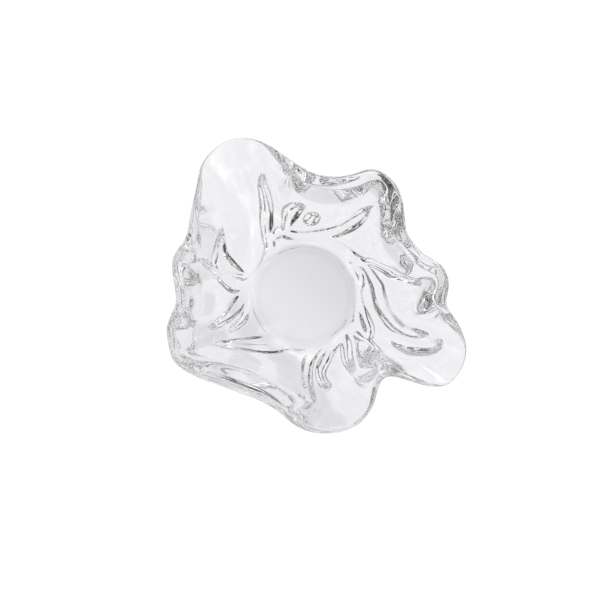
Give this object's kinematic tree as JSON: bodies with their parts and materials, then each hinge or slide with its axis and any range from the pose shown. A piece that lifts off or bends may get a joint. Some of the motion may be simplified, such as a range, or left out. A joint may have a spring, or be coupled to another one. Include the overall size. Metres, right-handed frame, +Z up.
{
  "type": "floating candle bowl",
  "caption": "Free-form bowl of thick clear glass with a flat round floor on a foot, uneven swept lobes and ribs outside, filled with water for floating candles or used as a dish.",
  "frame": {"origin": "middle of the ground flat base, on the surface that the bowl stands on", "axes": "+Z up out of the bowl, +X to the right and +Y to the back as someone in front of the bowl looks down into it, with the long lobes at the back left and the front right"},
  "size_m": [0.2489, 0.249, 0.0824],
  "materials": {
    "clear_glass": "polished clear crystal glass"
  },
  "bodies": {
    "root": {"glass_bowl": "clear_glass"}
  },
  "joints": []
}
